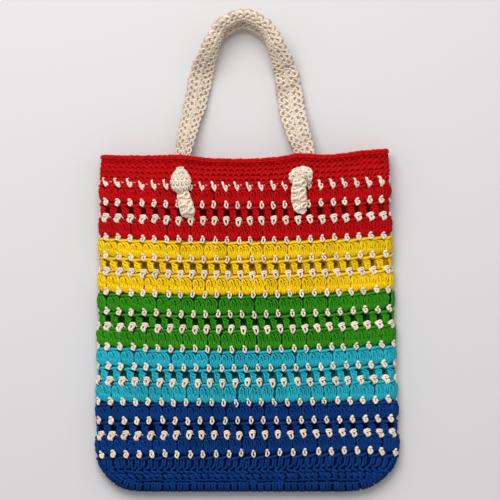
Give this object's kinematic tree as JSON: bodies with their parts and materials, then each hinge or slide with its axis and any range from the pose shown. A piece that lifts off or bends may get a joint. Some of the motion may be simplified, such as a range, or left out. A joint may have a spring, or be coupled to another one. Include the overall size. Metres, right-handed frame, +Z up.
{
  "type": "tote bag",
  "caption": "Soft crocheted tote bag lying flat, with wide colour stripes, open mesh rows, cream stitch rounds and strap handles knotted through the rim",
  "frame": {"origin": "the middle of the footprint of the bag lying on its back, with its handles laid out, on the surface it lies on", "axes": "X across the bag, Y from its bottom fold towards the handles, Z up out of the front wall"},
  "size_m": [0.3352, 0.5434, 0.042],
  "materials": {
    "red_yarn": "matt cotton yarn",
    "yellow_yarn": "matt cotton yarn",
    "green_yarn": "matt cotton yarn",
    "turquoise_yarn": "matt cotton yarn",
    "blue_yarn": "matt cotton yarn",
    "cream_yarn": "matt cotton yarn"
  },
  "bodies": {
    "root": {"blue_band": "blue_yarn", "turquoise_band": "turquoise_yarn", "green_band": "green_yarn", "yellow_band": "yellow_yarn", "red_band": "red_yarn", "cream_round_01": "cream_yarn", "cream_round_02": "cream_yarn", "cream_round_03": "cream_yarn", "cream_round_04": "cream_yarn", "cream_round_05": "cream_yarn", "cream_round_06": "cream_yarn", "cream_round_07": "cream_yarn", "cream_round_08": "cream_yarn", "cream_round_09": "cream_yarn", "cream_round_10": "cream_yarn", "cream_round_11": "cream_yarn", "cream_round_12": "cream_yarn", "cream_round_13": "cream_yarn", "cream_round_14": "cream_yarn", "cream_round_15": "cream_yarn", "cream_round_16": "cream_yarn", "front_handle": "cream_yarn", "back_handle": "cream_yarn"}
  },
  "joints": []
}
